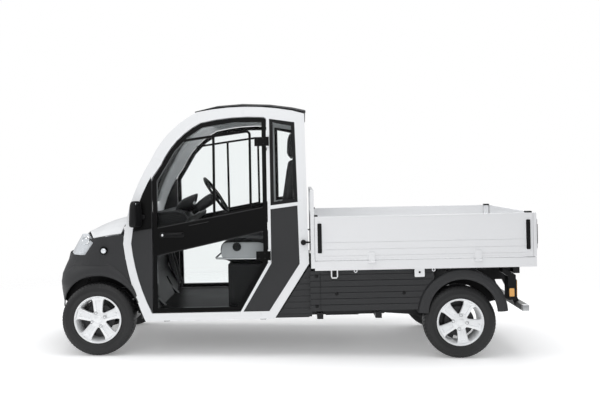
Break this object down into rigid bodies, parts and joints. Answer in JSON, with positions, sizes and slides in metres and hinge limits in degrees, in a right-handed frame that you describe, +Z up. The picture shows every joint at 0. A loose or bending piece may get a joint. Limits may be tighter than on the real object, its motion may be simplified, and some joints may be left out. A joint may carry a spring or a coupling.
{
  "type": "electric utility truck",
  "caption": "Small electric utility truck with a two-seat cab, full doors, a sloping bonnet and a dropside bed on a ladder frame",
  "frame": {"origin": "on the ground under the middle of the vehicle's overall box", "axes": "+X to the tail, +Y to the vehicle's right, +Z up"},
  "size_m": [3.9443, 1.6, 2.0728],
  "materials": {
    "frame_black": "satin black painted steel",
    "cab_white": "gloss white paint",
    "charcoal_plastic": "fine-grained charcoal plastic",
    "black_plastic": "matt black plastic",
    "clear_glass": "clear safety glass",
    "lamp_clear": "clear lens over a bright reflector",
    "lamp_rear": "red and amber lens on a black bracket",
    "seat_vinyl": "black seat cover",
    "bare_metal": "machined steel",
    "cast_housing": "cast housing",
    "battery_case": "black battery trays",
    "board_white": "white coated aluminium board",
    "tyre_rubber": "black tyre rubber",
    "alloy_silver": "silver painted alloy"
  },
  "bodies": {
    "vehicle": {"chassis_frame": "frame_black", "floor_pan": "black_plastic", "cab_frame": "cab_white", "roof_panel": "black_plastic", "rear_wall": "charcoal_plastic", "cab_glass": "clear_glass", "side_panels": "charcoal_plastic", "quarter_frames": "black_plastic", "front_fascia": "charcoal_plastic", "front_lamps": "lamp_clear", "mirrors": "black_plastic", "dashboard": "black_plastic", "driver_controls": "black_plastic", "seat_base": "black_plastic", "seats": "seat_vinyl", "drive_unit": "cast_housing", "battery_pack": "battery_case", "side_skirts": "charcoal_plastic", "rear_fenders": "black_plastic", "tail_lamps": "lamp_rear", "bed_floor": "board_white", "headboard": "board_white", "bed_posts": "board_white", "front_suspension": "frame_black", "rear_suspension": "frame_black", "arch_liners": "black_plastic"},
    "bonnet": {"bonnet": "cab_white"},
    "door_left": {"door_left": "black_plastic", "door_left_glass": "clear_glass"},
    "door_right": {"door_right": "black_plastic", "door_right_glass": "clear_glass"},
    "dropside_left": {"dropside_left": "board_white"},
    "dropside_right": {"dropside_right": "board_white"},
    "tailgate": {"tailgate": "board_white"},
    "steering_wheel": {"steering_wheel": "black_plastic"},
    "steering_rack": {"steering_rack": "bare_metal"},
    "knuckle_left": {"knuckle_left": "cast_housing"},
    "knuckle_right": {"knuckle_right": "cast_housing"},
    "wheel_front_left": {"tyre_front_left": "tyre_rubber", "rim_front_left": "alloy_silver"},
    "wheel_front_right": {"tyre_front_right": "tyre_rubber", "rim_front_right": "alloy_silver"},
    "wheel_rear_left": {"tyre_rear_left": "tyre_rubber", "rim_rear_left": "alloy_silver"},
    "wheel_rear_right": {"tyre_rear_right": "tyre_rubber", "rim_rear_right": "alloy_silver"}
  },
  "joints": [
    {"name": "door_left_hinge", "type": "hinge", "parent": "vehicle", "child": "door_left", "pos_m": [-0.18966, -0.65724, 1.27425], "axis": [-0.027, 0.061, 0.9978], "range_deg": [0, 95]},
    {"name": "door_right_hinge", "type": "hinge", "parent": "vehicle", "child": "door_right", "pos_m": [-0.18966, 0.65724, 1.27425], "axis": [0.027, 0.061, -0.9978], "range_deg": [0, 95]},
    {"name": "bonnet_hinge", "type": "hinge", "parent": "vehicle", "child": "bonnet", "pos_m": [-1.3854, 0, 1.06365], "axis": [0, 1, 0], "range_deg": [0, 50]},
    {"name": "dropside_left_hinge", "type": "hinge", "parent": "vehicle", "child": "dropside_left", "pos_m": [1.06091, -0.752, 0.78972], "axis": [0.9996, 0, 0.027], "range_deg": [0, 180]},
    {"name": "dropside_right_hinge", "type": "hinge", "parent": "vehicle", "child": "dropside_right", "pos_m": [1.06091, 0.752, 0.78972], "axis": [-0.9996, 0, -0.027], "range_deg": [0, 180]},
    {"name": "tailgate_hinge", "type": "hinge", "parent": "vehicle", "child": "tailgate", "pos_m": [1.96258, 0, 0.81412], "axis": [0, 1, 0], "range_deg": [0, 180]},
    {"name": "steer_left", "type": "hinge", "parent": "vehicle", "child": "knuckle_left", "pos_m": [-1.55056, -0.561, 0.291], "axis": [-0.027, 0, 0.9996], "range_deg": [-32, 32]},
    {"name": "steer_right", "type": "hinge", "parent": "vehicle", "child": "knuckle_right", "pos_m": [-1.55056, 0.561, 0.291], "axis": [-0.027, 0, 0.9996], "range_deg": [-32, 32]},
    {"name": "steering_wheel_turn", "type": "hinge", "parent": "vehicle", "child": "steering_wheel", "pos_m": [-0.64319, -0.35, 1.2878], "axis": [0.8136, 0, 0.5814], "range_deg": [-450, 450]},
    {"name": "rack_slide", "type": "slide", "parent": "vehicle", "child": "steering_rack", "axis": [0, 1, 0], "range_m": [-0.06, 0.06]},
    {"name": "wheel_front_left_spin", "type": "hinge", "parent": "knuckle_left", "child": "wheel_front_left", "pos_m": [-1.55056, -0.603, 0.291], "axis": [0, 1, 0], "continuous": true},
    {"name": "wheel_front_right_spin", "type": "hinge", "parent": "knuckle_right", "child": "wheel_front_right", "pos_m": [-1.55056, 0.603, 0.291], "axis": [0, 1, 0], "continuous": true},
    {"name": "wheel_rear_left_spin", "type": "hinge", "parent": "vehicle", "child": "wheel_rear_left", "pos_m": [1.35851, -0.603, 0.291], "axis": [0, 1, 0], "continuous": true},
    {"name": "wheel_rear_right_spin", "type": "hinge", "parent": "vehicle", "child": "wheel_rear_right", "pos_m": [1.35851, 0.603, 0.291], "axis": [0, 1, 0], "continuous": true}
  ],
  "couplings": [
    {"joint": "steer_right", "follows": "steer_left", "ratio": 1},
    {"joint": "steering_wheel_turn", "follows": "steer_left", "ratio": 14},
    {"joint": "rack_slide", "follows": "steer_left", "m_per_rad": 0.105}
  ]
}
